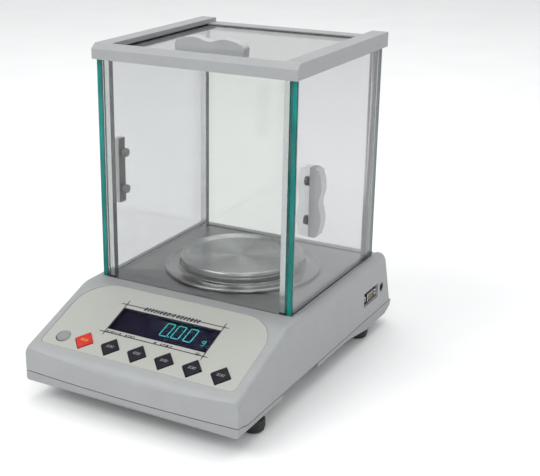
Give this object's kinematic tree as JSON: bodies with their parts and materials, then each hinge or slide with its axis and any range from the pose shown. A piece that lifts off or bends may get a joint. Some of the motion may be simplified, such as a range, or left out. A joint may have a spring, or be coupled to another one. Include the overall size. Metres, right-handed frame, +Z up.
{
  "type": "analytical balance",
  "caption": "Bench balance with a sloped key panel, a steel weighing pan and a glass draught shield with sliding side and top doors.",
  "frame": {"origin": "on the bench under the middle of the bounding box", "axes": "+X to the user's right, +Y away from the user (front to back), +Z up"},
  "size_m": [0.2138, 0.318, 0.2995],
  "materials": {
    "case_plastic": "fine-textured light grey paint",
    "cover_plastic": "moulded light grey",
    "overlay_film": "printed film, satin",
    "key_black": "semi-gloss black",
    "key_red": "semi-gloss red",
    "window_tint": "dark tinted window",
    "display_black": "vacuum display glass",
    "circuit_green": "solder resist",
    "switch_black": "moulded",
    "vial_clear": "clear acrylic with tinted fluid",
    "deck_steel": "brushed",
    "track_alloy": "satin anodised",
    "post_chrome": "polished",
    "clear_glass": "clear float glass, polished edges",
    "frame_alloy": "fine-textured light grey paint",
    "grip_plastic": "light grey moulded",
    "knob_plastic": "light grey moulded",
    "pan_steel": "spun and polished",
    "ring_steel": "spun and polished",
    "mechanism_alloy": "machined",
    "mechanism_steel": "ground",
    "screw_steel": "zinc plated",
    "connector_steel": "tinned shell",
    "jack_black": "moulded",
    "insert_brass": "knurled",
    "foot_rubber": "moulded black"
  },
  "bodies": {
    "balance": {"upper_housing": "case_plastic", "bottom_cover": "cover_plastic", "case_screws": "screw_steel", "foot_inserts": "insert_brass", "panel_overlay": "overlay_film", "display_window": "window_tint", "display_module": "display_black", "display_board": "circuit_green", "key_switches": "switch_black", "level_vial": "vial_clear", "deck_plate": "deck_steel", "door_track_left": "track_alloy", "door_track_right": "track_alloy", "post_screws": "screw_steel", "top_front_bar": "frame_alloy", "top_rail_left": "frame_alloy", "top_rail_right": "frame_alloy", "top_rear_bar": "frame_alloy", "top_rear_cap": "frame_alloy", "front_glass": "clear_glass", "rear_glass": "clear_glass", "draught_ring": "ring_steel", "load_cell": "mechanism_alloy", "cell_base": "mechanism_alloy", "chassis_plate": "mechanism_steel", "mechanism_screws": "screw_steel", "main_board": "circuit_green", "serial_connector": "connector_steel", "dc_jack": "jack_black", "post_front_left": "post_chrome", "post_front_right": "post_chrome", "post_rear_left": "post_chrome", "post_rear_right": "post_chrome"},
    "pan_carrier": {"pan_spindle": "mechanism_steel", "cell_bracket": "mechanism_alloy", "bracket_screws": "screw_steel"},
    "pan": {"weighing_pan": "pan_steel"},
    "left_door": {"left_door_glass": "clear_glass", "left_door_grip": "grip_plastic", "left_door_knobs": "knob_plastic"},
    "right_door": {"right_door_glass": "clear_glass", "right_door_grip": "grip_plastic", "right_door_knobs": "knob_plastic"},
    "top_door": {"top_door_glass": "clear_glass", "top_door_grip": "grip_plastic", "top_door_knobs": "knob_plastic"},
    "power_button": {"key_power": "key_red"},
    "cal_button": {"key_cal": "key_black"},
    "unit_button": {"key_unit": "key_black"},
    "count_button": {"key_count": "key_black"},
    "print_button": {"key_print": "key_black"},
    "tare_button": {"key_tare": "key_black"},
    "front_left_stud": {"foot_stud_front_left": "screw_steel"},
    "front_left_foot": {"foot_front_left": "foot_rubber"},
    "front_right_stud": {"foot_stud_front_right": "screw_steel"},
    "front_right_foot": {"foot_front_right": "foot_rubber"},
    "rear_left_stud": {"foot_stud_rear_left": "screw_steel"},
    "rear_left_foot": {"foot_rear_left": "foot_rubber"},
    "rear_right_stud": {"foot_stud_rear_right": "screw_steel"},
    "rear_right_foot": {"foot_rear_right": "foot_rubber"}
  },
  "joints": [
    {"name": "left_door_slide", "type": "slide", "parent": "balance", "child": "left_door", "axis": [0, 1, 0], "range_m": [0, 0.125]},
    {"name": "right_door_slide", "type": "slide", "parent": "balance", "child": "right_door", "axis": [0, 1, 0], "range_m": [0, 0.125]},
    {"name": "top_door_slide", "type": "slide", "parent": "balance", "child": "top_door", "axis": [0, 1, 0], "range_m": [0, 0.125]},
    {"name": "pan_load", "type": "slide", "parent": "balance", "child": "pan_carrier", "axis": [0, 0, -1], "range_m": [0, 0.0004], "stiffness_N_per_m": 12000, "springref_m": -0.0002, "deforming": ["load_cell"]},
    {"name": "pan_lift_off", "type": "slide", "parent": "pan_carrier", "child": "pan", "axis": [0, 0, 1], "range_m": [0, 0.06]},
    {"name": "power_press", "type": "slide", "parent": "balance", "child": "power_button", "axis": [0, 0.3387, -0.9409], "range_m": [0, 0.0005], "stiffness_N_per_m": 3000, "springref_m": -0.0002},
    {"name": "cal_press", "type": "slide", "parent": "balance", "child": "cal_button", "axis": [0, 0.3387, -0.9409], "range_m": [0, 0.0005], "stiffness_N_per_m": 3000, "springref_m": -0.0002},
    {"name": "unit_press", "type": "slide", "parent": "balance", "child": "unit_button", "axis": [0, 0.3387, -0.9409], "range_m": [0, 0.0005], "stiffness_N_per_m": 3000, "springref_m": -0.0002},
    {"name": "count_press", "type": "slide", "parent": "balance", "child": "count_button", "axis": [0, 0.3387, -0.9409], "range_m": [0, 0.0005], "stiffness_N_per_m": 3000, "springref_m": -0.0002},
    {"name": "print_press", "type": "slide", "parent": "balance", "child": "print_button", "axis": [0, 0.3387, -0.9409], "range_m": [0, 0.0005], "stiffness_N_per_m": 3000, "springref_m": -0.0002},
    {"name": "tare_press", "type": "slide", "parent": "balance", "child": "tare_button", "axis": [0, 0.3387, -0.9409], "range_m": [0, 0.0005], "stiffness_N_per_m": 3000, "springref_m": -0.0002},
    {"name": "front_left_foot_lift", "type": "slide", "parent": "balance", "child": "front_left_stud", "axis": [0, 0, 1], "range_m": [-0.00401, 0]},
    {"name": "front_left_foot_turn", "type": "hinge", "parent": "front_left_stud", "child": "front_left_foot", "pos_m": [-0.091, -0.107, 0.008], "axis": [0, 0, 1], "range_deg": [-1440, 0]},
    {"name": "front_right_foot_lift", "type": "slide", "parent": "balance", "child": "front_right_stud", "axis": [0, 0, 1], "range_m": [-0.00401, 0]},
    {"name": "front_right_foot_turn", "type": "hinge", "parent": "front_right_stud", "child": "front_right_foot", "pos_m": [0.091, -0.107, 0.008], "axis": [0, 0, 1], "range_deg": [-1440, 0]},
    {"name": "rear_left_foot_lift", "type": "slide", "parent": "balance", "child": "rear_left_stud", "axis": [0, 0, 1], "range_m": [-0.00401, 0]},
    {"name": "rear_left_foot_turn", "type": "hinge", "parent": "rear_left_stud", "child": "rear_left_foot", "pos_m": [-0.091, 0.107, 0.008], "axis": [0, 0, 1], "range_deg": [-1440, 0]},
    {"name": "rear_right_foot_lift", "type": "slide", "parent": "balance", "child": "rear_right_stud", "axis": [0, 0, 1], "range_m": [-0.00401, 0]},
    {"name": "rear_right_foot_turn", "type": "hinge", "parent": "rear_right_stud", "child": "rear_right_foot", "pos_m": [0.091, 0.107, 0.008], "axis": [0, 0, 1], "range_deg": [-1440, 0]}
  ],
  "couplings": [
    {"joint": "front_left_foot_lift", "follows": "front_left_foot_turn", "m_per_rad": 0.00015915},
    {"joint": "front_right_foot_lift", "follows": "front_right_foot_turn", "m_per_rad": 0.00015915},
    {"joint": "rear_left_foot_lift", "follows": "rear_left_foot_turn", "m_per_rad": 0.00015915},
    {"joint": "rear_right_foot_lift", "follows": "rear_right_foot_turn", "m_per_rad": 0.00015915}
  ]
}
